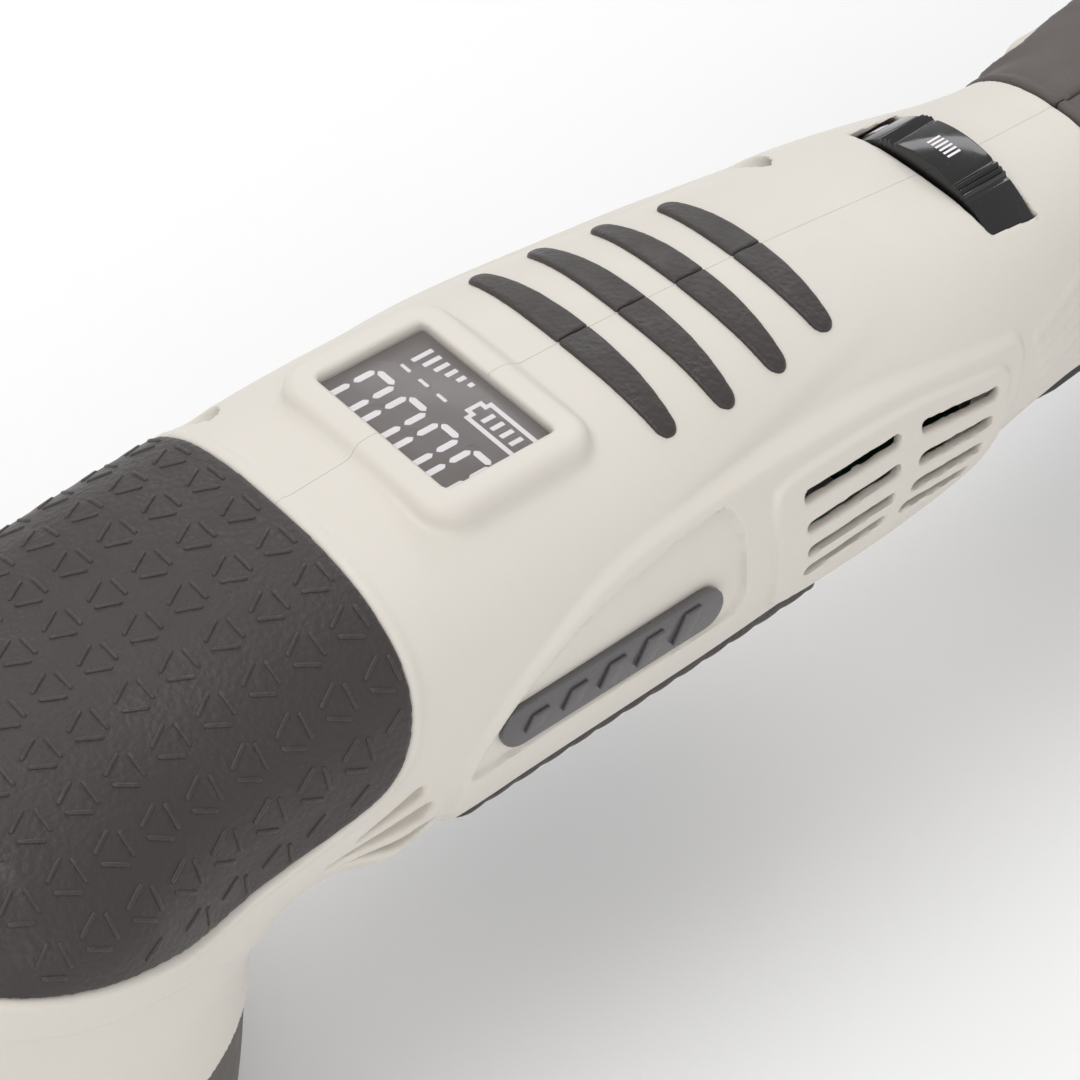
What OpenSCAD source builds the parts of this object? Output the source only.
// Cordless dual action polisher with a clamshell body, rubber head boot and orbital drive.
// The origin is the centre of the pad face; +X runs to the battery, +Z up.
// Shapes of the tool are written from the spindle axis, and tool() puts them in place.

/* [Orbit and drive] */
// Diameter of the circle that the centre of the backing plate travels
orbit_d = 12; // [8:1:15]
// Teeth on the motor pinion
pinion_teeth = 9; // [8:1:12]
// Teeth on the crown gear
crown_teeth = 27; // [24:3:36]
// Pitch radius of the motor pinion
pinion_r = 7; // [6.5:0.25:8]
// Face width of the pinion and the crown gear
gear_face = 5; // [4:0.5:6]
// Radius of the spindle in its lower bearing
spindle_r = 7.5; // [6:0.25:9]
// Radius of the plate shaft in the eccentric bearings
plate_shaft_r = 6; // [5:0.25:7]
// Outer radius of the two eccentric bearings
ecc_bearing_r = 14; // [12:0.5:16]
// Width of one eccentric bearing
ecc_bearing_w = 8; // [6:0.5:10]
// Outer radius of the lower spindle bearing
low_bearing_r = 17.5; // [15:0.5:19]
// Width of the lower spindle bearing
low_bearing_w = 11; // [8:0.5:13]
// Outer radius of the small ball bearings on the motor shaft and spindle top
small_bearing_r = 11; // [9:0.5:12]
// Width of the small ball bearings
small_bearing_w = 7; // [5:0.5:8]
// Radius of the motor shaft and of the spindle top
motor_shaft_r = 4; // [3:0.25:4.5]
// Outer radius of the counterweight
weight_r = 32; // [28:0.5:33]

/* [Backing plate] */
// Diameter of the backing plate
plate_d = 75; // [60:1:90]
// Thickness of the hook face
hook_t = 1.6; // [1:0.1:2.5]
// Thickness of the soft cushion
cushion_t = 6.4; // [4:0.2:10]
// Thickness of the rigid hub plate
hub_t = 5; // [3:0.5:8]
// Radius of the centre stud's shank
stud_r = 3; // [2.5:0.25:3.5]
// Radius of the centre stud's head
stud_head_r = 6.5; // [5:0.25:8]

/* [Head] */
// Outer diameter of the round head at the collar
head_d = 83; // [80:1:96]
// Thickness of the rubber boot
boot_t = 1.6; // [1.2:0.1:2.5]
// Distance from the spindle to the boot's rear edge on top
boot_rear_x = 63; // [58:1:70]
// Height of the boot's lowest edge above the motor axis
boot_low_z = 1; // [-3:0.5:4]
// Height of the boot's edge at the nose above the motor axis
boot_nose_z = 20; // [16:0.5:22]
// Wall thickness of the rubber shroud
shroud_t = 2.6; // [2:0.1:4]

/* [Body] */
// Width of the body at the display
body_w = 72; // [66:1:84]
// Height of the body's top above the motor axis
body_up = 32.8; // [31:0.2:40]
// Depth of the belly below the motor axis
body_dn = 34; // [31:0.5:38]
// Diameter of the neck where the handle starts
neck_d = 49; // [46:1:56]
// Distance from the spindle to the neck
neck_x = 224; // [222:1:250]
// Wall thickness of the housing under the boot
wall = 2.2; // [1.8:0.1:3]
// How far the lower side panels stand proud
panel_t = 1.2; // [0.6:0.1:2]
// Length of the vent slots
vent_l = 19.5; // [14:0.5:21]
// Height of one vent slot
vent_h = 2.4; // [1.6:0.1:3]
// Spacing of the vent slots
vent_pitch = 5.7; // [4.5:0.1:7]

/* [Display and grip] */
// Distance from the spindle to the window's front edge
display_x = 82; // [80:1:88]
// Length of the window along the tool
display_l = 20.8; // [16:0.2:24]
// Width of the window
display_w = 32; // [26:0.5:36]
// Width of the frame around the window
bezel_rim = 6.5; // [5:0.5:8]
// How far the display frame stands proud
bezel_h = 1.6; // [1:0.1:3]
// Distance from the spindle to the middle of the first grip stripe
stripe_x = 119.5; // [118:0.5:124]
// Spacing of the grip stripes
stripe_pitch = 11.9; // [9:0.1:13]
// Width of a grip stripe at its middle
stripe_w = 6.2; // [4:0.1:8]
// Half length of a grip stripe across the body
stripe_half = 24; // [18:0.5:26]
// Width of the belly pad
belly_w = 40; // [30:1:44]
// How far the belly pad stands proud
belly_h = 2.2; // [1:0.1:3]
// Length of the badge on each side
badge_l = 44; // [30:1:48]
// Thickness of the badge
badge_t = 1.2; // [0.8:0.1:2]

/* [Speed dial] */
// Distance from the spindle to the middle of the dial
dial_x = 198.5; // [197:0.5:202]
// Radius of the speed dial
dial_r = 20.5; // [18:0.5:22]
// Thickness of the speed dial
dial_w = 9.6; // [7:0.2:11]
// Gap between the dial and its slot
dial_gap = 0.5; // [0.3:0.05:1]

/* [Motor] */
// Outer radius of the stator
stator_r = 23.5; // [20:0.5:25]
// Length of the stator stack
stator_l = 46; // [36:1:50]
// Radius of the rotor
rotor_r = 12.8; // [10:0.2:14]
// Air gap between the rotor and the stator
air_gap = 0.7; // [0.4:0.1:1.2]
// Radius of the cooling fan
fan_r = 22; // [19:0.5:22.5]

/* [Handle and trigger] */
// Length of the handle
handle_len = 95; // [90:1:120]
// Width of the handle at its swell
handle_w = 58; // [52:1:64]
// Wall thickness of the handle shells
handle_wall = 3; // [2.4:0.1:4]
// Width of the trigger paddle
trigger_w = 18; // [14:0.5:22]
// Length of the trigger paddle
trigger_l = 58; // [50:1:62]
// Diameter of the trigger pin
trigger_pin_d = 4; // [3:0.25:5]
// Gap between the trigger and its slot
trigger_gap = 0.6; // [0.4:0.1:1]
// Length of the lock button
lock_l = 15; // [10:0.5:18]
// Height of the lock button
lock_h = 8; // [6:0.5:10]
// Travel of the lock button
lock_travel = 2.5; // [1.5:0.25:3]

/* [Battery] */
// Length of the battery pack behind the handle
battery_len = 62; // [58:1:80]
// Width of the battery pack
battery_w = 62; // [58:1:72]
// Height of the battery pack
battery_h = 72; // [66:1:84]
// Width of the battery plug
plug_w = 26; // [20:1:30]
// Height of the battery plug
plug_h = 18; // [14:1:22]
// Length of the battery plug inside the handle
plug_l = 16; // [12:1:20]
// Gap around the battery plug
plug_gap = 0.5; // [0.3:0.1:1]

/* [Fits] */
// Radial clearance of a running fit
run_gap = 0.05; // [0.02:0.01:0.1]
// Clearance between pieces that are assembled together
fit_gap = 0.1; // [0.05:0.05:0.3]
// Gap between pieces that move past each other
move_gap = 0.5; // [0.3:0.1:1]
// Radius of the housing screws' shanks
screw_r = 1.5; // [1.2:0.1:2]

/* [Hidden] */
$fn = 48;
ring_pts = 36;
bore_fn = 24;
head_x = orbit_d / 2;
head_r = head_d / 2;

// Heights from the pad face up through the drive
plate_top = hook_t + cushion_t + hub_t;
flange_t = 4;
shroud_z = plate_top + 4;
crank_z = plate_top + flange_t + 1.8;
crank_top = crank_z + 1 + 2 * ecc_bearing_w + 2;
retainer_t = 2;
collar_z = crank_top + retainer_t + 0.7;
crown_z = collar_z + low_bearing_w + 1;
crown_t = 8;
pinion_root = pinion_r - 1.6;
pinion_tip = pinion_r + 1;
axis_z = crown_z + crown_t + pinion_tip + 0.6;
crown_r = pinion_r * crown_teeth / pinion_teeth;
top_bearing_z = axis_z + pinion_tip + 3;

// Places along the motor shaft
front_bearing_x = crown_r + gear_face / 2 + 27;
bracket_x = front_bearing_x + small_bearing_w + 1;
bracket_t = 3;
fan_x = bracket_x + bracket_t + 1.5;
fan_w = 8;
coil_l = 6;
stator_x = fan_x + fan_w + coil_l + 9;
rear_bearing_x = stator_x + stator_l + coil_l + 4;
board_x = rear_bearing_x + small_bearing_w + 8;
board_drop = 9;

// Outlines of the body along the tool
last_stripe_x = stripe_x + 3 * stripe_pitch;
shell_t = boot_t + wall;
belly_x0 = 73;
belly_x1 = belly_x0 + 76;
neck_drop = 3.5;
width_tbl = [
    [0, body_w / 2 - 0.7],
    [display_x, body_w / 2 + 0.2],
    [stripe_x, body_w / 2 - 0.4],
    [last_stripe_x, body_w / 2 - 2.2],
    [dial_x - 14, neck_d / 4 + body_w / 4 + 0.8],
    [dial_x + 2, neck_d / 2 + 3.6],
    [neck_x - 12, neck_d / 2 + 0.9],
    [neck_x, neck_d / 2]
];
top_tbl = [
    [0, body_up - 4.8],
    [boot_rear_x - 20, body_up - 1.4],
    [display_x, body_up],
    [display_x + display_l, body_up - 0.5],
    [stripe_x + stripe_pitch / 2, body_up - 1.7],
    [last_stripe_x, body_up - 4.5],
    [dial_x - 14, neck_d / 2 - 0.3],
    [dial_x, neck_d / 2 - 2.2],
    [neck_x - 12, neck_d / 2 - 3.3],
    [neck_x, neck_d / 2 - neck_drop - 0.5]
];
bottom_tbl = [
    [0, -body_dn + 13],
    [45, -body_dn + 12.5],
    [54, -body_dn + 9.5],
    [66, -body_dn + 3],
    [78, -body_dn],
    [last_stripe_x, -body_dn],
    [dial_x - 27, -body_dn + 4],
    [dial_x - 5, -neck_d / 2 + 1.5],
    [neck_x - 16, -neck_d / 2 + 0.5],
    [neck_x, -neck_d / 2 - neck_drop + 0.5]
];
middle_tbl = [[0, 4], [150, 4], [175, 2.5], [dial_x - 3, 0], [neck_x, -neck_drop]];
shoulder_tbl = [[0, 2.8], [110, 2.8], [130, 2.5], [150, 2.3], [166, 2.3], [182, 2.6], [dial_x, 2.7],
    [neck_x - 10, 2.4], [neck_x, 2.3]];
belly_n = 2.4;
body_xs = [0, 14, 28, 40, 48, 56, 65, 72, 80, 92, 104, 115, 127, 139, 150.5, 163, 174, 184, 193, 203,
    neck_x - 11, neck_x];

// Outlines of the handle, measured back from the neck
handle_top_z = neck_d / 2 - neck_drop;
swell_tbl = [[0, neck_d / 2], [9, neck_d / 2 + 0.6], [19, handle_w / 2 - 0.8], [32, handle_w / 2],
    [55, handle_w / 2 - 1.4], [handle_len - 20, handle_w / 2 - 1], [handle_len, battery_w / 2]];
handle_up_tbl = [[0, handle_top_z - 0.5], [16, handle_top_z - 0.5], [40, handle_top_z + 1],
    [handle_len - 22, handle_top_z + 1], [handle_len, battery_h / 2 - 8]];
handle_dn_tbl = [[0, -neck_d / 2 - neck_drop + 0.5], [16, -neck_d / 2 - 4], [50, -neck_d / 2 - 3],
    [handle_len - 22, -neck_d / 2 - 4], [handle_len, -battery_h / 2 - 4]];
handle_n_tbl = [[0, 2.3], [40, 2.4], [handle_len - 20, 2.8], [handle_len, 5]];
handle_z = axis_z - neck_drop;
handle_end = neck_x + handle_len;
battery_z = axis_z - 6;

// Trigger and lock
trigger_x = neck_x - 17;
trigger_low = -neck_d / 2 - 12.5;
pin_x = trigger_x + 7;
pin_z = axis_z - neck_d / 2 + 4.5;
lock_x = neck_x + 20;
lock_z = axis_z + 8;
lock_y = handle_w / 2 - 3.2;

// Screws of the clamshell: distance from the spindle and height above the axis
front_screw_x = stator_x - coil_l - 4.5;
screw_spots = [[front_screw_x, 20.5], [front_screw_x, -24.5], [rear_bearing_x + small_bearing_w + 5, -22.7],
    [dial_x - 10.5, 10], [neck_x - 6.5, 12]];
handle_screw_spots = [[52, 13], [56, -17], [84, 19]];
boss_r = screw_r + 2.6;
head_screw_r = screw_r + 1.4;
case_r = head_r - shell_t - 0.4;

// Value of a table at x, with its corners rounded over a few millimetres
function along(tbl, x, r = 5) = (lookup(x - r, tbl) + 2 * lookup(x, tbl) + lookup(x + r, tbl)) / 4;
function bent(v, e) = sign(v) * pow(abs(v), e);
// One closed ring: half width w, height up and depth dn from mid, with rounded-square powers
function ring(w, up, dn, n_up, n_dn, mid) = [for (i = [0 : ring_pts - 1])
    let (a = 360 * i / ring_pts, n = sin(a) >= 0 ? n_up : n_dn, h = sin(a) >= 0 ? up : dn)
    [w * bent(cos(a), 2 / n), mid + h * bent(sin(a), 2 / n)]];
function body_ring(x, g) = let (m = along(middle_tbl, x))
    ring(along(width_tbl, x) + g, along(top_tbl, x) - m + g, m - along(bottom_tbl, x) + g,
        along(shoulder_tbl, x), belly_n, axis_z + m);
function handle_ring(x, g) =
    ring(along(swell_tbl, x, 3) + g, along(handle_up_tbl, x) + neck_drop + g,
        -neck_drop - along(handle_dn_tbl, x) + g, along(handle_n_tbl, x), along(handle_n_tbl, x),
        handle_z);
// Height of the body's outer surface over the point x, y
function skin_z(x, y) = let (m = along(middle_tbl, x), n = along(shoulder_tbl, x))
    axis_z + m + (along(top_tbl, x) - m)
        * pow(1 - pow(min(abs(y) / along(width_tbl, x), 1), n), 1 / n);

module tool() {
    translate([head_x, 0, 0]) children();
}

// Cylinder along +X from x to x + l
module bar_x(x, l, r, z = axis_z, y = 0) {
    translate([x, y, z]) rotate([0, 90, 0]) cylinder(h = l, r = r);
}

// Cylinder along +Y from y0 to y1
module bar_y(x, z, y0, y1, r, fn = 48) {
    translate([x, y0, z]) rotate([-90, 0, 0]) cylinder(h = y1 - y0, r = r, $fn = fn);
}

module tube(z, h, r_out, r_in) {
    translate([0, 0, z]) difference() {
        cylinder(h = h, r = r_out);
        translate([0, 0, -1]) cylinder(h = h + 2, r = r_in);
    }
}

module loft(xs, rings) {
    m = len(rings[0]);
    k = len(xs);
    polyhedron(
        points = [for (i = [0 : k - 1]) for (p = rings[i]) [xs[i], p[0], p[1]]],
        faces = concat(
            [for (i = [0 : k - 2]) for (j = [0 : m - 1]) [i * m + j, (i + 1) * m + j, i * m + (j + 1) % m]],
            [for (i = [0 : k - 2]) for (j = [0 : m - 1])
                [(i + 1) * m + j, (i + 1) * m + (j + 1) % m, i * m + (j + 1) % m]],
            [[for (j = [0 : m - 1]) j]],
            [[for (j = [m - 1 : -1 : 0]) (k - 1) * m + j]]));
}

// Head dome: an upright wall that rolls over into a shallow crown
module head_form(g) {
    dome_z = axis_z + 7;
    dome_h = body_up - 4.8 - 7;
    // The hollow runs a little below the wall, so that it opens the head
    base_z = g < -boot_t ? collar_z - 1 : collar_z;
    rotate_extrude($fn = 40) polygon(concat(
        [[0, base_z], [head_r + g, base_z]],
        [for (a = [0 : 15 : 90]) [(head_r + g) * pow(cos(a), 0.8), dome_z + (dome_h + g) * pow(sin(a), 0.8)]]));
}

module body_form(g) {
    union() {
        loft(body_xs, [for (x = body_xs) body_ring(x, g)]);
        head_form(g);
    }
}

// Everything that the rubber boot covers: a fan of wedges above its edge
module boot_zone(gap = 0) {
    low = axis_z + boot_low_z - gap;
    nose = axis_z + boot_nose_z - gap;
    rear = boot_rear_x + gap;
    edge = [[rear, 200], [rear - 0.5, nose + 8], [rear - 2, nose - 3], [rear - 6, low + 7],
        [rear - 14, low + 2], [rear - 26, low + 0.5], [26, low], [6, low + 6.5], [-8, low + 12.5],
        [-20, nose - 1], [-32, nose], [-90, nose]];
    for (i = [0 : len(edge) - 2])
        hull() for (p = [[0, 300], edge[i], edge[i + 1]])
            translate([p[0], 0, p[1]]) cube([0.01, 200, 0.01], center = true);
}

// Raised lower side panels, bounded above by a long arch
module panel_zone() {
    crest = axis_z + 19;
    foot = axis_z - 24;
    rotate([90, 0, 0]) linear_extrude(200, center = true) polygon([
        [boot_rear_x + 8, foot], [boot_rear_x + 8, axis_z + 6], [display_x + 8, crest - 4],
        [stripe_x + 4, crest], [last_stripe_x, crest], [dial_x - 20, crest - 4], [dial_x - 16, crest - 8],
        [dial_x - 22, axis_z - 12], [dial_x - 30, foot]]);
}

module stripe_outline(i, grow = 0) {
    w = stripe_w / 2 + grow;
    l = stripe_half + grow - (i == 3 ? 4 : i == 2 ? 1.5 : 0);
    translate([stripe_x + i * stripe_pitch, 0]) for (s = [-1, 1]) hull() {
        square([2 * w, l], center = true);
        translate([-0.6, s * (l - w * 0.62)]) circle(r = w * 0.62, $fn = 16);
    }
}

module stripes(grow, under, over) {
    intersection() {
        difference() {
            body_form(over);
            body_form(-under);
        }
        for (i = [0 : 3]) translate([0, 0, axis_z + 12]) linear_extrude(60) stripe_outline(i, grow);
    }
}

module display_frame() {
    z = skin_z(display_x + display_l / 2, 0);
    tilt = 2.5;
    translate([display_x + display_l / 2, 0, z - 6]) rotate([0, tilt, 0]) hull()
        for (sx = [-1, 1]) for (sy = [-1, 1])
            translate([sx * (display_l / 2 + bezel_rim - 4), sy * (display_w / 2 + bezel_rim - 4), 0]) {
                cylinder(h = 6 + bezel_h - 0.8, r = 4.6, $fn = 24);
                cylinder(h = 6 + bezel_h, r = 3.8, $fn = 24);
            }
}

module display_slab(z0, z1, grow) {
    z = skin_z(display_x + display_l / 2, 0);
    translate([display_x + display_l / 2, 0, z]) rotate([0, 2.5, 0])
        translate([-display_l / 2 - grow, -display_w / 2 - grow, z0])
            cube([display_l + 2 * grow, display_w + 2 * grow, z1 - z0]);
}

module vent_slots(side) {
    for (col = [0, 1]) for (row = [0 : 3])
        hull() for (e = [0, 1])
            translate([stripe_x + 15 + col * (vent_l + 5) - row * 0.6 + e * (vent_l - vent_h - row),
                side * body_w / 4, axis_z + 12 - row * vent_pitch])
                rotate([-90 * side, 0, 0]) cylinder(h = body_w, r = vent_h / 2, $fn = 12);
}

module exhaust_slots(side) {
    for (row = [0 : 2])
        hull() for (e = [0, 1])
            translate([48 + e * 14, side * body_w / 4, axis_z - 2 - row * 5 - e * 1.5])
                rotate([-90 * side, 0, 0]) cylinder(h = body_w, r = 0.8 + e * 0.5, $fn = 12);
}

module bosses() {
    for (p = screw_spots) bar_y(p[0], axis_z + p[1], -body_w / 2, body_w / 2, boss_r, bore_fn);
    bar_y(pin_x, pin_z, -body_w / 2, body_w / 2, trigger_pin_d / 2 + 2.4, bore_fn);
}

module ribs() {
    for (x = [stator_x + 5, stator_x + stator_l - 7])
        translate([x, -60, 0]) cube([2, 120, 200]);
    translate([rear_bearing_x + 1, -60, 0]) cube([2, 120, 200]);
    // Posts under the control board and the wall behind the dial
    for (x = [board_x + 4, board_x + 20]) translate([x, -60, 0]) cube([2, 120, axis_z - board_drop]);
    translate([dial_x + dial_w / 2 + dial_gap + 6.6, -60, 0]) cube([1.8, 120, 200]);
}

module housing(side) {
    color([0.83, 0.8, 0.76]) difference() {
        intersection() {
            difference() {
                union() {
                    body_form(-boot_t);
                    difference() {
                        body_form(0);
                        boot_zone();
                    }
                    intersection() {
                        body_form(panel_t);
                        panel_zone();
                    }
                    display_frame();
                }
                difference() {
                    union() {
                        body_form(-shell_t);
                        translate([neck_x - 1, 0, axis_z - neck_drop]) rotate([0, 90, 0])
                            cylinder(h = 10, r = neck_d / 2 - shell_t - 0.6);
                    }
                    intersection() {
                        union() {
                            bosses();
                            ribs();
                        }
                        body_form(-shell_t + 0.5);
                    }
                }
                stripes(fit_gap, 0.9, 3);
            }
            translate([-100, side > 0 ? 0 : -100, 0]) cube([neck_x + 100, 100, 200]);
        }
        // Bores for the stator, the end frame and the fan behind the ribs
        bar_x(fan_x - 2, stator_x - fan_x + stator_l + 8, stator_r + fit_gap);
        bar_x(rear_bearing_x - 3, small_bearing_w + 4, stator_r + fit_gap);
        for (p = screw_spots) {
            bar_y(p[0], axis_z + p[1], -14, 14, screw_r + run_gap, bore_fn);
            bar_y(p[0], axis_z + p[1], 11, 60, head_screw_r + fit_gap, bore_fn);
        }
        // Window, lens seat and the pocket of the display
        display_slab(-3, 8, 0);
        display_slab(-30, -1.2, 1.5 + fit_gap);
        // Speed dial slot
        translate([dial_x - dial_w / 2 - dial_gap, -dial_r + 3.6, axis_z + 6])
            cube([dial_w + 2 * dial_gap, 2 * dial_r - 7.2, 40]);
        bar_x(dial_x - dial_w / 2 - dial_gap, dial_w + 2 * dial_gap, dial_r + dial_gap, dial_axis_z());
        vent_slots(side);
        exhaust_slots(side);
        // Slot of the trigger and its pin
        translate([trigger_x - 1, -trigger_w / 2 - trigger_gap, 0])
            cube([60, trigger_w + 2 * trigger_gap, axis_z - neck_d / 2 + 10.5]);
        bar_y(pin_x, pin_z, -trigger_w / 2 - 6, trigger_w / 2 + 6, trigger_pin_d / 2);
        belly_skin(fit_gap, 0.9, 6);
        translate([display_x - 8, side * (badge_y() - fit_gap / 2), axis_z + 3])
            rotate([-90 * side, 0, 0]) linear_extrude(10) badge_outline(fit_gap);
    }
}

function dial_axis_z() = skin_z(dial_x, 0) + 1.4 - dial_r;

module housing_left() {
    tool() housing(-1);
}

module housing_right() {
    tool() housing(1);
}

module head_boot() {
    tool() color([0.29, 0.27, 0.27]) difference() {
        intersection() {
            body_form(0.5);
            boot_zone(-fit_gap);
        }
        body_form(-boot_t + fit_gap / 2);
    }
}

module shroud() {
    top_r = head_r - 0.5;
    low_r = head_r - 3;
    tool() color([0.28, 0.26, 0.26]) rotate_extrude() polygon([
        [low_bearing_r + 14, collar_z - 2.5], [low_bearing_r + 14, collar_z - fit_gap / 2],
        [top_r, collar_z - fit_gap / 2], [top_r - 0.4, collar_z - 8], [low_r, shroud_z + 2],
        [low_r - 0.6, shroud_z], [low_r - shroud_t, shroud_z], [top_r - shroud_t - 0.4, collar_z - 8],
        [top_r - shroud_t, collar_z - 2.5]]);
}

module display_lens() {
    tool() color([0.62, 0.64, 0.64, 0.5]) display_slab(-2.6, -1.25, 1.4);
}

module display_panel() {
    tool() color([0.3, 0.28, 0.28]) display_slab(-4.6, -2.65, 1.3);
}

module display_board() {
    tool() color([0.12, 0.36, 0.22]) difference() {
        display_slab(-6.3, -4.7, 1.4);
        for (sx = [-1, 1])
            translate([display_x + display_l / 2 + sx * (display_l / 2 - 1), 0, axis_z])
                cylinder(h = 60, r = 1.1);
    }
}

module grip_stripes(side) {
    color([0.27, 0.25, 0.26]) intersection() {
        stripes(0, 0.85, 0.7);
        translate([0, side > 0 ? 0.02 : -100.02, 0]) cube([300, 100, 200]);
    }
}

module grip_stripes_left() {
    tool() grip_stripes(-1);
}

module grip_stripes_right() {
    tool() grip_stripes(1);
}

// A plain raised plate with three ridges, one on each side of the body
module badge(side) {
    color([0.45, 0.44, 0.44]) translate([display_x - 8, side * badge_y(), axis_z + 3]) {
        rotate([-90 * side, 0, 0]) linear_extrude(badge_t) badge_outline(0);
        for (k = [0 : 2]) translate([8 + k * 12, side * badge_t, 0]) rotate([-90 * side, 0, 0])
            linear_extrude(0.6) square([7, 3], center = true);
    }
}

module badge_outline(grow) {
    hull() for (x = [4, badge_l - 4]) translate([x, 0]) circle(r = 4 + grow);
}

// The badge sits in a flat pocket, which starts under the side panel's surface
function badge_y() = along(width_tbl, display_x - 8 + badge_l) + panel_t - 0.6;

module badge_left() {
    tool() badge(-1);
}

module badge_right() {
    tool() badge(1);
}

// Curved band of the belly between two offsets of the body
module belly_skin(grow, under, over) {
    intersection() {
        difference() {
            body_form(over);
            body_form(-under);
        }
        translate([(belly_x0 + belly_x1) / 2, 0, 0]) linear_extrude(axis_z - 10)
            square([belly_x1 - belly_x0 + 2 * grow, belly_w + 2 * grow], center = true);
    }
}

module belly_pad() {
    tool() color([0.27, 0.25, 0.26]) difference() {
        belly_skin(0, 0.85, belly_h);
        for (k = [0 : 11]) hull() for (s = [-1, 1])
            translate([belly_x0 + 6 + k * 5.6, s * belly_w, axis_z - body_dn - belly_h])
                sphere(r = 1.1, $fn = 8);
    }
}

module speed_dial() {
    z = dial_axis_z();
    tool() color([0.09, 0.09, 0.09]) translate([dial_x - dial_w / 2, 0, z]) rotate([0, 90, 0]) difference() {
        union() {
            cylinder(h = dial_w, r = dial_r - 0.6);
            for (k = [0 : 6]) for (j = [-1 : 1]) rotate(-180 + k * 45 + 22.5 + j * 4.2)
                translate([dial_r - 1.4, -0.45, 0]) cube([1.4, 0.9, dial_w]);
        }
        translate([0, 0, -1]) cylinder(h = dial_w + 2, r = 3 + run_gap);
        translate([0, 0, dial_w / 2]) difference() {
            cylinder(h = dial_w, r = dial_r - 3.2);
            translate([0, 0, -1]) cylinder(h = dial_w + 2, r = 6);
        }
    }
}

module dial_potentiometer() {
    z = dial_axis_z();
    tool() color([0.2, 0.24, 0.5]) union() {
        bar_x(dial_x - dial_w / 2 - 1, dial_w + 3, 3, z);
        bar_x(dial_x + dial_w / 2 + dial_gap + 0.6, 6, 8, z);
        translate([dial_x + dial_w / 2 + dial_gap + 0.6, -5, z - 12]) cube([2, 10, 8]);
    }
}

module handle_form(g, xs) {
    translate([neck_x, 0, 0]) loft(xs, [for (x = xs) handle_ring(x, g)]);
}

module handle_half(side) {
    xs = [0.3, 8, 16, 24, 34, 46, 58, 68, 76, 84, 90, handle_len];
    inner_xs = [-1, 8, 16, 24, 34, 46, 58, 68, handle_len - 18];
    color([0.29, 0.27, 0.27]) difference() {
        intersection() {
            difference() {
                handle_form(0, xs);
                difference() {
                    handle_form(-handle_wall, inner_xs);
                    for (p = handle_screw_spots)
                        bar_y(neck_x + p[0], axis_z + p[1], -battery_w, battery_w, boss_r, bore_fn);
                    for (x = [pin_x + 17, pin_x + 31]) translate([x, -60, switch_z() - 3])
                        cube([2, 120, 3 - fit_gap / 2]);
                    if (side > 0) lock_slot(lock_y - 10, 40, lock_h / 2 + 2.5);
                }
            }
            translate([0, side > 0 ? 0 : -100, -50]) cube([handle_end + 10, 100, 200]);
        }
        for (p = handle_screw_spots) {
            bar_y(neck_x + p[0], axis_z + p[1], -14, 14, screw_r + run_gap, bore_fn);
            bar_y(neck_x + p[0], axis_z + p[1], 11, 60, head_screw_r + fit_gap, bore_fn);
        }
        // Slot of the trigger
        translate([neck_x - 5, -trigger_w / 2 - trigger_gap, 0])
            cube([trigger_x + trigger_l + 2 - neck_x + 5, trigger_w + 2 * trigger_gap,
                axis_z - neck_d / 2 + 9]);
        // Socket of the battery plug
        translate([handle_end - 25, -plug_w / 2 - plug_gap, battery_z - plug_h / 2 - plug_gap])
            cube([30, plug_w + 2 * plug_gap, plug_h + 2 * plug_gap]);
        // Notch that the battery latch drops into
        translate([handle_end - 4.5, -6, battery_z + battery_h / 2 - 9.5]) cube([10, 12, 20]);
        if (side > 0) lock_slot(lock_y - 8, 50, lock_h / 2 + move_gap / 2 + 0.1);
        grip_grooves(side);
    }
}

// Round-ended slot along Y at the lock button
module lock_slot(y0, y1, r) {
    hull() for (e = [-1, 1]) translate([lock_x + e * (lock_l / 2 - lock_h / 2), y0, lock_z])
        rotate([-90, 0, 0]) cylinder(h = y1 - y0, r = r, $fn = 20);
}

// Short finger grooves along the lower side of the grip
module grip_grooves(side) {
    for (k = [0 : 7]) hull() for (e = [-1, 1])
        translate([neck_x + 30 + k * 5 + e * 0.8, side * (handle_w / 2 - 0.9), axis_z - 8 + e * 5])
            rotate([-90 * side, 0, 0]) cylinder(h = 6, r = 0.9, $fn = 10);
}

module handle_left() {
    tool() handle_half(-1);
}

module handle_right() {
    tool() handle_half(1);
}

module trigger() {
    low = axis_z + trigger_low;
    top = axis_z - neck_d / 2 + 1;
    end = trigger_x + trigger_l;
    tool() color([0.12, 0.12, 0.12]) difference() {
        union() {
            translate([0, trigger_w / 2, 0]) rotate([90, 0, 0]) linear_extrude(trigger_w) polygon([
                [trigger_x + 0.5, top], [trigger_x + 0.5, low + 7], [trigger_x + 5, low + 2],
                [trigger_x + 14, low], [end - 16, low + 1], [end - 4, low + 4.5], [end, low + 9],
                [end, top]]);
            bar_y(pin_x, pin_z, -trigger_w / 2, trigger_w / 2, 5);
            translate([pin_x + 24, -3, top - 1]) cube([6, 6, 5]);
        }
        bar_y(pin_x, pin_z, -trigger_w, trigger_w, trigger_pin_d / 2 + run_gap);
        translate([trigger_x + 14, -trigger_w / 2 + 2.4, low + 6])
            cube([16, trigger_w - 4.8, 40]);
    }
}

module trigger_pin() {
    tool() color("silver") bar_y(pin_x, pin_z, -trigger_w / 2 - 5.5, trigger_w / 2 + 5.5, trigger_pin_d / 2);
}

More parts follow.
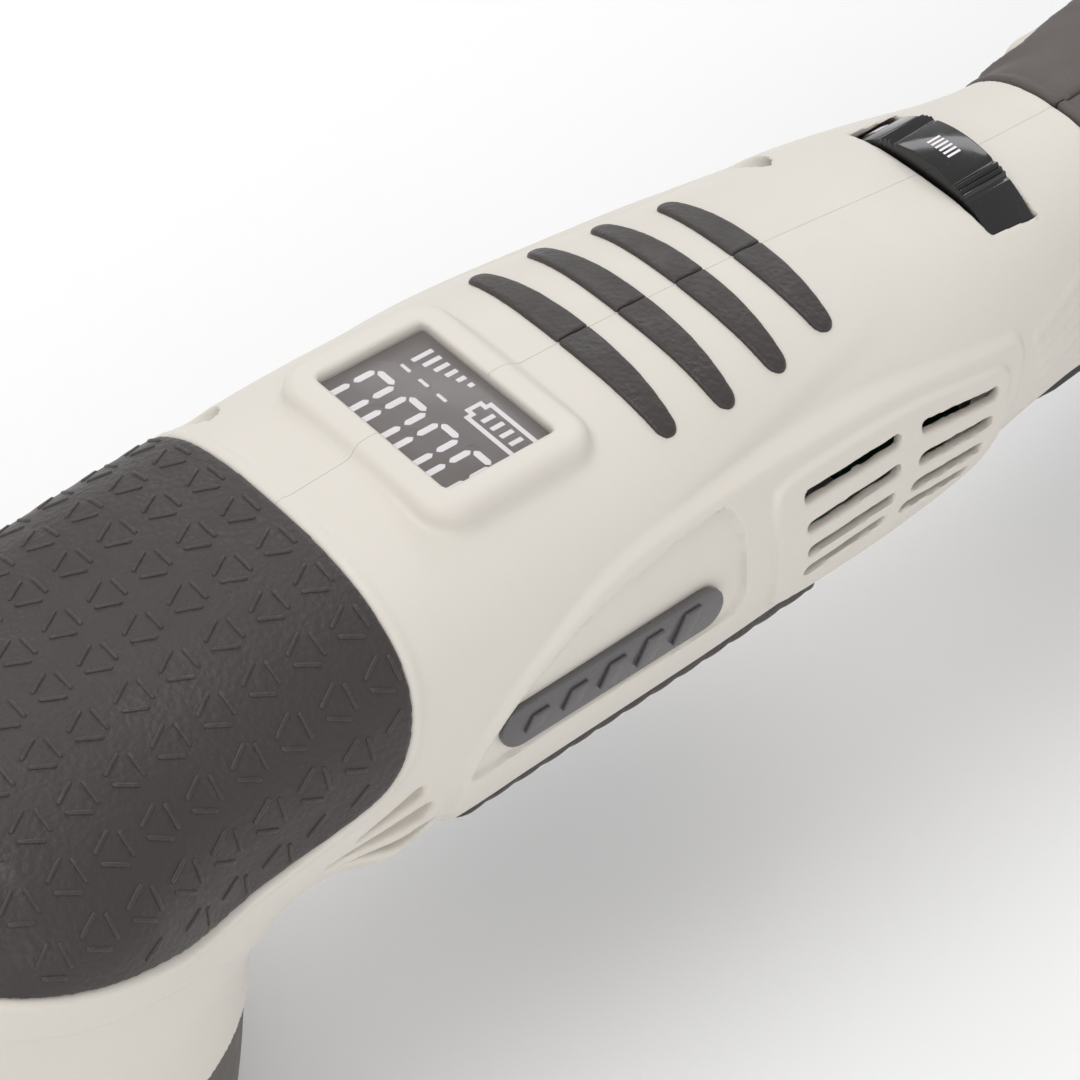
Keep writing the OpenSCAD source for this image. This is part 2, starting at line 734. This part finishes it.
// Coil spring: a round wire swept on a helix of radius r
module coil(r, wire, length, turns) {
    steps = 9;
    sides = 6;
    n = turns * steps;
    rings = [for (i = [0 : n]) [for (j = [0 : sides - 1])
        let (a = 360 * i / steps, b = 360 * j / sides, d = r + wire * cos(b))
        [d * cos(a), d * sin(a), wire + (length - 2 * wire) * i / n + wire * sin(b)]]];
    polyhedron(
        points = [for (q = rings) each q],
        faces = concat(
            [for (i = [0 : n - 1]) for (j = [0 : sides - 1])
                [i * sides + j, (i + 1) * sides + j, i * sides + (j + 1) % sides]],
            [for (i = [0 : n - 1]) for (j = [0 : sides - 1])
                [(i + 1) * sides + j, (i + 1) * sides + (j + 1) % sides, i * sides + (j + 1) % sides]],
            [[for (j = [0 : sides - 1]) j]],
            [[for (j = [sides - 1 : -1 : 0]) n * sides + j]]));
}

module trigger_spring() {
    z0 = axis_z - neck_d / 2 + 1.1;
    tool() color("gainsboro") translate([pin_x + 38, 0, z0]) coil(2.6, 0.45, switch_z() - z0 - 0.1, 4);
}

function switch_z() = axis_z - 12;

module trigger_switch() {
    tool() color([0.1, 0.1, 0.12]) union() {
        translate([pin_x + 14, -8, switch_z()]) cube([32, 16, 18]);
        translate([pin_x + 46, -5, switch_z() + 4]) cube([4, 10, 8]);
    }
}

module lock_button() {
    tool() color([0.83, 0.8, 0.76]) translate([lock_x, lock_y, lock_z]) rotate([-90, 0, 0]) union() {
        hull() for (e = [-1, 1]) translate([e * (lock_l / 2 - lock_h / 2), 0, -2])
            cylinder(h = 3.6, r = lock_h / 2 - move_gap / 2 + 0.1, $fn = 32);
        translate([0, 0, -4]) cylinder(h = 3, r = 2);
    }
}

module lock_spring() {
    tool() color("gainsboro") translate([lock_x, lock_y - 7.9, lock_z]) rotate([-90, 0, 0])
        coil(3.2, 0.4, 5.8, 3);
}

module rounded_block(x0, x1, w, z0, z1, r) {
    hull() for (x = [x0 + r / 2, x1 - r]) for (sy = [-1, 1]) for (z = [z0 + r, z1 - r])
        translate([x, sy * (w / 2 - r), z]) sphere(r = r, $fn = 20);
}

module battery_case() {
    x0 = handle_end + move_gap;
    x1 = x0 + battery_len;
    z0 = battery_z - battery_h / 2;
    z1 = battery_z + battery_h / 2;
    tool() color([0.13, 0.13, 0.14]) difference() {
        union() {
            intersection() {
                rounded_block(x0 - 8, x1, battery_w, z0, z1, 7);
                translate([x0, -100, 0]) cube([200, 200, 200]);
            }
            translate([handle_end - plug_l, -plug_w / 2, battery_z - plug_h / 2])
                cube([plug_l + 8, plug_w, plug_h]);
        }
        translate([x0 + 3, -battery_w / 2 + 3, z0 + 3]) cube([battery_len - 7, battery_w - 6, battery_h - 20]);
        translate([handle_end - plug_l - 1, -plug_w / 2 + 2.5, battery_z - plug_h / 2 + 2.5])
            cube([plug_l + 8, plug_w - 5, plug_h - 5]);
        // Well of the latch
        translate([x0 - 1, -8.5, z1 - 13]) cube([24, 17, 20]);
    }
}

module battery_cells() {
    x0 = handle_end + move_gap + 4;
    cell_r = 9;
    tool() color([0.2, 0.42, 0.62]) for (row = [0, 1]) for (k = [-1 : 1])
        bar_x(x0, battery_len - 10, cell_r,
            battery_z - battery_h / 2 + 3.05 + cell_r + row * 18.1, k * 18.2);
}

module battery_terminals() {
    tool() color("goldenrod") for (k = [-1 : 1])
        translate([handle_end - plug_l + 1, k * 6 - 0.8, battery_z - plug_h / 2 + 2.5]) cube([plug_l + 2.5, 1.6, 10]);
}

module battery_latch() {
    x0 = handle_end + move_gap + 0.5;
    z1 = battery_z + battery_h / 2;
    tool() color([0.62, 0.13, 0.1]) union() {
        translate([x0 + 1, -7.5, z1 - 6]) cube([19, 15, 5.5]);
        for (k = [0 : 3]) translate([x0 + 4 + k * 4, -6.5, z1 - 1]) cube([1.6, 13, 1.2]);
        translate([x0 - 4, -5, z1 - 6]) cube([6, 10, 3.5]);
    }
}

module latch_spring() {
    z1 = battery_z + battery_h / 2;
    tool() color("gainsboro") translate([handle_end + move_gap + 11, 0, z1 - 12.9]) coil(3, 0.45, 6.8, 3);
}

module terminal_block() {
    tool() color([0.15, 0.15, 0.16]) difference() {
        translate([handle_end - 25, -plug_w / 2, battery_z - plug_h / 2]) cube([6, plug_w, plug_h]);
        for (k = [-1 : 1]) translate([handle_end - 20, k * 6 - 1, battery_z - 5.5]) cube([3, 2, 11]);
    }
}

module screw(x, z) {
    bar_y(x, z, -13.5, 11.5, screw_r);
    difference() {
        bar_y(x, z, 11.1, 13.6, head_screw_r);
        translate([x - 2, 12.6, z - 0.4]) cube([4, 3, 0.8]);
        translate([x - 0.4, 12.6, z - 2]) cube([0.8, 3, 4]);
    }
}

module housing_screws() {
    tool() color("silver") for (p = screw_spots) screw(p[0], axis_z + p[1]);
}

module handle_screws() {
    tool() color("silver") for (p = handle_screw_spots) screw(neck_x + p[0], axis_z + p[1]);
}

module stator_core() {
    tool() color([0.62, 0.62, 0.64]) difference() {
        bar_x(stator_x, stator_l, stator_r);
        bar_x(stator_x - 1, stator_l + 2, rotor_r + air_gap);
        for (k = [0 : 5]) translate([stator_x - 1, 0, axis_z]) rotate([60 * k + 30, 0, 0])
            translate([0, -3, rotor_r + air_gap + 2]) cube([stator_l + 2, 6, 4]);
    }
}

module stator_windings() {
    tool() color([0.72, 0.4, 0.2]) for (x = [stator_x - coil_l, stator_x + stator_l])
        difference() {
            bar_x(x, coil_l, stator_r - 2.5);
            bar_x(x - 1, coil_l + 2, rotor_r + air_gap + 1);
        }
}

module rotor() {
    tool() color([0.4, 0.4, 0.43]) difference() {
        bar_x(stator_x, stator_l, rotor_r);
        bar_x(stator_x - 1, stator_l + 2, motor_shaft_r);
    }
}

module motor_shaft() {
    x0 = crown_r - gear_face / 2;
    tool() color("silver") bar_x(x0, rear_bearing_x + small_bearing_w - x0, motor_shaft_r);
}

module cooling_fan() {
    tool() color([0.16, 0.16, 0.17]) difference() {
        union() {
            bar_x(fan_x + fan_w - 1.6, 1.6, fan_r);
            bar_x(fan_x, fan_w, 8);
            for (k = [0 : 10]) translate([fan_x + 0.5, 0, axis_z]) rotate([360 * k / 11, 0, 0])
                translate([0, -0.7, 7]) cube([fan_w - 1, 1.4, fan_r - 8]);
        }
        bar_x(fan_x - 1, fan_w + 2, motor_shaft_r);
    }
}

module drive_pinion() {
    x0 = crown_r - gear_face / 2;
    tool() color([0.55, 0.56, 0.58]) difference() {
        union() {
            bar_x(x0, gear_face, pinion_root);
            for (k = [0 : pinion_teeth - 1]) translate([x0, 0, axis_z])
                rotate([360 * (k + 0.5) / pinion_teeth + 180, 0, 0])
                    translate([0, -0.65, pinion_root - 1]) cube([gear_face, 1.3, pinion_tip - pinion_root + 1]);
        }
        bar_x(x0 - 1, gear_face + 2, motor_shaft_r);
    }
}

module crown_gear() {
    tip = axis_z - pinion_root - 0.6;
    tool() color([0.55, 0.56, 0.58]) difference() {
        union() {
            translate([0, 0, crown_z]) cylinder(h = crown_t, r = crown_r + gear_face / 2);
            for (k = [0 : crown_teeth - 1]) rotate(360 * k / crown_teeth)
                translate([crown_r - gear_face / 2, -0.7, crown_z + crown_t - 1])
                    cube([gear_face - 0.3, 1.4, tip - crown_z - crown_t + 1]);
        }
        translate([0, 0, crown_z - 1]) cylinder(h = crown_t + 2, r = spindle_r - 1);
        translate([0, 0, crown_z + 3]) difference() {
            cylinder(h = crown_t, r = crown_r - gear_face / 2 - 1.5);
            translate([0, 0, -1]) cylinder(h = crown_t + 2, r = spindle_r + 3);
        }
    }
}

module ball_bearing_z(z, w, r_out, r_in) {
    translate([0, 0, z]) difference() {
        cylinder(h = w, r = r_out);
        translate([0, 0, -1]) cylinder(h = w + 2, r = r_in);
        for (s = [-1, w - 0.6]) translate([0, 0, s]) difference() {
            cylinder(h = 1.6, r = r_out - 1.6);
            translate([0, 0, -1]) cylinder(h = 4, r = r_in + 1.6);
        }
    }
}

module front_bearing() {
    tool() color([0.75, 0.76, 0.78]) translate([front_bearing_x, 0, axis_z]) rotate([0, 90, 0])
        ball_bearing_z(0, small_bearing_w, small_bearing_r, motor_shaft_r + run_gap);
}

module rear_bearing() {
    tool() color([0.75, 0.76, 0.78]) translate([rear_bearing_x, 0, axis_z]) rotate([0, 90, 0])
        ball_bearing_z(0, small_bearing_w, small_bearing_r, motor_shaft_r + run_gap);
}

module motor_bracket() {
    tool() color([0.66, 0.67, 0.69]) difference() {
        bar_x(bracket_x, bracket_t, fan_r);
        bar_x(bracket_x - 1, bracket_t + 2, motor_shaft_r + 1.5);
        for (k = [0 : 5]) translate([bracket_x - 1, 0, axis_z]) rotate([60 * k, 0, 0])
            translate([0, 0, 16]) rotate([0, 90, 0]) cylinder(h = bracket_t + 2, r = 2.6);
    }
}

module end_frame() {
    tool() color([0.66, 0.67, 0.69]) difference() {
        bar_x(rear_bearing_x - 2.5, small_bearing_w + 3, stator_r);
        bar_x(rear_bearing_x, small_bearing_w + 4, small_bearing_r);
        bar_x(rear_bearing_x - 4, small_bearing_w + 4, motor_shaft_r + 1.5);
        for (k = [0 : 5]) translate([rear_bearing_x - 4, 0, axis_z]) rotate([60 * k + 30, 0, 0])
            translate([0, 0, 17]) rotate([0, 90, 0]) cylinder(h = small_bearing_w + 6, r = 3);
    }
}

module motor_leads() {
    x0 = rear_bearing_x + small_bearing_w + 0.8;
    tool() for (k = [-1 : 1]) color(k == 0 ? [0.7, 0.1, 0.08] : [0.12, 0.12, 0.12])
        bar_x(x0, board_x + 24 - x0, 1.3, axis_z + 4 + k * 2, 17 * k);
}

module control_board() {
    tool() color([0.12, 0.36, 0.22]) union() {
        translate([board_x, -22, axis_z - board_drop + fit_gap / 2]) cube([26, 44, 1.6]);
        for (k = [-1 : 1]) translate([board_x + 3, k * 12 - 4, axis_z - board_drop + 1.5]) cube([8, 8, 3]);
    }
}

module capacitors() {
    tool() color([0.2, 0.2, 0.24]) for (k = [-1, 1])
        translate([board_x + 19, k * 8, axis_z - board_drop + 1.65 + fit_gap / 2]) cylinder(h = 9, r = 4.5);
}

module gear_case() {
    low = collar_z;
    cavity_r = crown_r + gear_face / 2 + 1.5;
    crown_top = axis_z + pinion_tip + 1;
    tool() color([0.66, 0.67, 0.69]) difference() {
        union() {
            translate([0, 0, low]) cylinder(h = axis_z - low, r = case_r);
            translate([0, 0, axis_z - 1]) cylinder(h = crown_top - axis_z + 2.5, r = cavity_r + 3);
            translate([0, 0, crown_top]) cylinder(h = small_bearing_w + 4, r = small_bearing_r + 3);
            bar_x(cavity_r - 1, bracket_x - cavity_r + 1 - fit_gap / 2, small_bearing_r + 4);
        }
        translate([0, 0, low - 1]) cylinder(h = low_bearing_w + 1, r = low_bearing_r);
        translate([0, 0, low]) cylinder(h = low_bearing_w + 3, r = low_bearing_r - 2);
        translate([0, 0, crown_z - 1]) cylinder(h = crown_top - crown_z + 1, r = cavity_r);
        translate([0, 0, crown_top - 1]) cylinder(h = 3.1, r = small_bearing_r - 2);
        translate([0, 0, top_bearing_z]) cylinder(h = small_bearing_w, r = small_bearing_r);
        bar_x(cavity_r - 4, 60, pinion_tip + 1);
        bar_x(front_bearing_x, 40, small_bearing_r);
        for (a = [45 : 90 : 315]) rotate(a) translate([low_bearing_r + 5.5, 0, low - 1])
            cylinder(h = 9, r = screw_r);
    }
}

module bearing_retainer() {
    tool() color([0.6, 0.61, 0.63]) difference() {
        tube(collar_z - retainer_t - fit_gap / 2, retainer_t, low_bearing_r + 11, spindle_r + 5);
        for (a = [45 : 90 : 315]) rotate(a) translate([low_bearing_r + 5.5, 0, collar_z - retainer_t - 2])
            cylinder(h = 9, r = screw_r);
    }
}

module retainer_screws() {
    tool() color("silver") for (a = [45 : 90 : 315]) rotate(a)
        translate([low_bearing_r + 5.5, 0, collar_z - retainer_t - fit_gap / 2 - 0.1]) {
            cylinder(h = retainer_t + 7, r = screw_r);
            translate([0, 0, -0.35]) cylinder(h = 0.45, r = screw_r + 1.2);
        }
}

module spindle_bearing() {
    tool() color([0.75, 0.76, 0.78])
        ball_bearing_z(collar_z, low_bearing_w, low_bearing_r, spindle_r + run_gap);
}

module top_bearing() {
    tool() color([0.75, 0.76, 0.78])
        ball_bearing_z(top_bearing_z, small_bearing_w, small_bearing_r, motor_shaft_r + run_gap);
}

module crank_spindle() {
    bore_z = crank_z + 1;
    tool() color([0.5, 0.51, 0.54]) difference() {
        union() {
            translate([-head_x, 0, crank_z]) cylinder(h = crank_top - crank_z, r = ecc_bearing_r + 3);
            translate([0, 0, crank_top - 2]) cylinder(h = retainer_t + 2.6, r = spindle_r + 2);
            translate([0, 0, crank_top]) cylinder(h = crown_z - crank_top, r = spindle_r);
            translate([0, 0, crown_z - 0.5]) cylinder(h = axis_z - crown_z, r = spindle_r - 1);
            translate([0, 0, axis_z - 2]) cylinder(h = top_bearing_z + small_bearing_w - axis_z + 2, r = motor_shaft_r);
        }
        translate([-head_x, 0, bore_z]) cylinder(h = 2 * ecc_bearing_w, r = ecc_bearing_r);
        translate([-head_x, 0, crank_z - 1]) cylinder(h = 3, r = ecc_bearing_r - 2);
    }
}

module counterweight() {
    gap = fit_gap / 2;
    tool() color([0.42, 0.42, 0.44]) difference() {
        translate([0, 0, crank_z]) cylinder(h = crank_top - crank_z - 1, r = weight_r);
        translate([-head_x, 0, crank_z - 1]) cylinder(h = 60, r = ecc_bearing_r + 3 + gap);
        translate([-60, -60, crank_z - 1]) cube([60 + 7, 120, 60]);
        for (s = [-1, 1]) translate([20, s * 12, crank_z - 1]) cylinder(h = 60, r = 2.5);
    }
}

module eccentric_bearings() {
    color([0.75, 0.76, 0.78]) for (k = [0, 1])
        ball_bearing_z(crank_z + 1 + k * ecc_bearing_w, ecc_bearing_w, ecc_bearing_r,
            plate_shaft_r + run_gap);
}

module plate_shaft() {
    color([0.62, 0.63, 0.65]) difference() {
        union() {
            translate([0, 0, plate_top]) cylinder(h = flange_t, r = 9.5, $fn = 6);
            translate([0, 0, plate_top]) cylinder(h = crank_z - plate_top + 0.5, r = plate_shaft_r + 1);
            translate([0, 0, plate_top]) cylinder(h = crank_z + 1 + 2 * ecc_bearing_w - plate_top, r = plate_shaft_r);
        }
        translate([0, 0, plate_top - 1]) cylinder(h = 14, r = stud_r);
    }
}

module plate_hub() {
    color([0.12, 0.12, 0.13]) difference() {
        rotate_extrude() polygon([[0, hook_t + cushion_t], [plate_d / 2 - 1.5, hook_t + cushion_t],
            [plate_d / 2 - 1.5, hook_t + cushion_t + 1.6], [plate_d / 2 - 12, plate_top - 1],
            [16, plate_top - 1], [14, plate_top], [0, plate_top]]);
        translate([0, 0, -1]) cylinder(h = 40, r = stud_r + fit_gap);
        translate([0, 0, hook_t]) cylinder(h = cushion_t + 1, r = stud_head_r + 1);
        for (k = [0 : 7]) rotate(45 * k) translate([plate_d / 2 - 14, 0, 0]) cylinder(h = 40, r = 3);
    }
}

module plate_cushion() {
    color([0.24, 0.25, 0.27]) difference() {
        rotate_extrude() polygon([[0, hook_t], [plate_d / 2 - 0.4, hook_t], [plate_d / 2, hook_t + 1.5],
            [plate_d / 2 - 1.2, hook_t + cushion_t], [0, hook_t + cushion_t]]);
        translate([0, 0, -1]) cylinder(h = 40, r = stud_head_r + 1);
        for (k = [0 : 7]) rotate(45 * k) translate([plate_d / 2 - 14, 0, 0]) cylinder(h = 40, r = 3);
    }
}

module hook_face() {
    color([0.55, 0.56, 0.57]) difference() {
        cylinder(h = hook_t, r = plate_d / 2);
        for (k = [0 : 7]) rotate(45 * k) translate([plate_d / 2 - 14, 0, -1]) cylinder(h = 40, r = 3);
    }
}

// Stud of the backing plate: its head lies in the cushion, over the hook face
module plate_stud() {
    head_z = hook_t + cushion_t - 3;
    color("silver") union() {
        translate([0, 0, head_z]) cylinder(h = 3.5, r = stud_head_r);
        translate([0, 0, head_z]) cylinder(h = plate_top + 11 - head_z, r = stud_r);
    }
}

housing_left();
housing_right();
head_boot();
shroud();
display_lens();
display_panel();
display_board();
grip_stripes_left();
grip_stripes_right();
badge_left();
badge_right();
belly_pad();
speed_dial();
dial_potentiometer();
handle_left();
handle_right();
trigger();
trigger_pin();
trigger_spring();
trigger_switch();
lock_button();
lock_spring();
battery_case();
battery_cells();
battery_terminals();
battery_latch();
latch_spring();
terminal_block();
housing_screws();
handle_screws();
stator_core();
stator_windings();
rotor();
motor_shaft();
cooling_fan();
drive_pinion();
front_bearing();
rear_bearing();
motor_bracket();
end_frame();
motor_leads();
control_board();
capacitors();
gear_case();
bearing_retainer();
retainer_screws();
spindle_bearing();
top_bearing();
crown_gear();
crank_spindle();
counterweight();
eccentric_bearings();
plate_shaft();
plate_hub();
plate_cushion();
hook_face();
plate_stud();
